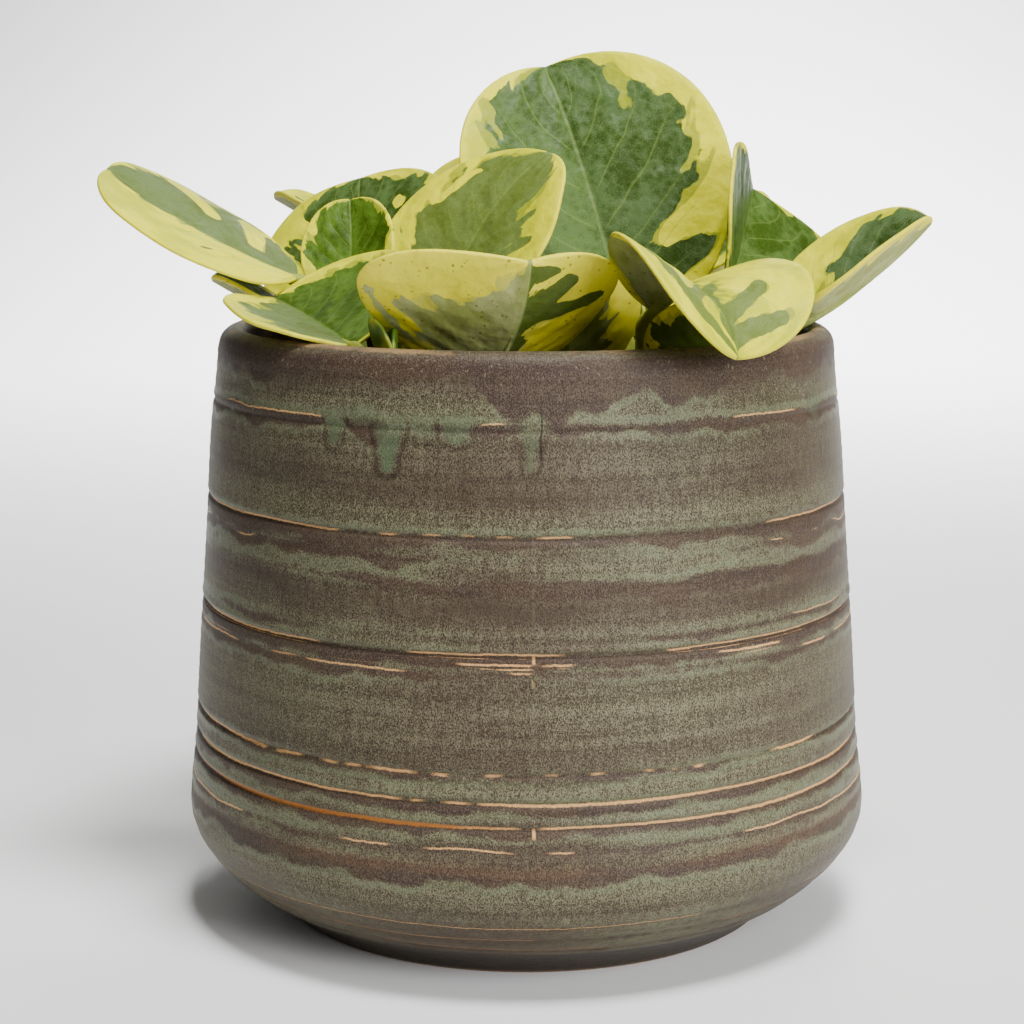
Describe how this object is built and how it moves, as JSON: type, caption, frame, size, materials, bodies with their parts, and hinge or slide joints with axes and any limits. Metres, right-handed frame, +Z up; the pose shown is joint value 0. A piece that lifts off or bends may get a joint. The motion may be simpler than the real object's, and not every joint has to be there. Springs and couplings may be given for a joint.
{
  "type": "potted plant",
  "caption": "Low pot plant with thick rounded variegated leaves on short stalks, in a turned stoneware pot with fine grooves, for standing on a table or shelf.",
  "frame": {"origin": "centre of the pot's flat foot, on the surface it stands on", "axes": "+Z up along the pot's axis, -Y towards the front of the picture, +X to its right"},
  "size_m": [0.1926, 0.1791, 0.2012],
  "materials": {
    "glaze": "satin speckled grey-brown glaze, ochre where it breaks over the grooves",
    "soil": "rough, granular potting mix",
    "stem": "satin, pale green",
    "leaf": "waxy gloss above, matt and pale below, dark green with yellow margins"
  },
  "bodies": {
    "root": {"pot": "glaze", "soil": "soil", "stem_front_left": "stem", "stem_left": "stem", "stem_front": "stem", "stem_middle": "stem", "stem_front_right": "stem", "stem_right": "stem", "stem_back_left": "stem", "stem_far_left": "stem", "stem_back": "stem", "stem_back_right": "stem", "leaf_far_left": "leaf", "leaf_front_left": "leaf", "leaf_round_left": "leaf", "leaf_young_left": "leaf", "leaf_centre": "leaf", "leaf_front": "leaf", "leaf_tall": "leaf", "leaf_front_right": "leaf", "leaf_folded_right": "leaf", "leaf_far_right": "leaf", "leaf_low_front": "leaf", "leaf_low_right": "leaf", "leaf_low_left": "leaf", "leaf_back_left_high": "leaf", "leaf_back_left_low": "leaf", "leaf_back_left_inner": "leaf", "leaf_left_back": "leaf", "leaf_back": "leaf", "leaf_back_inner": "leaf", "leaf_back_right": "leaf", "leaf_back_right_inner": "leaf"}
  },
  "joints": []
}
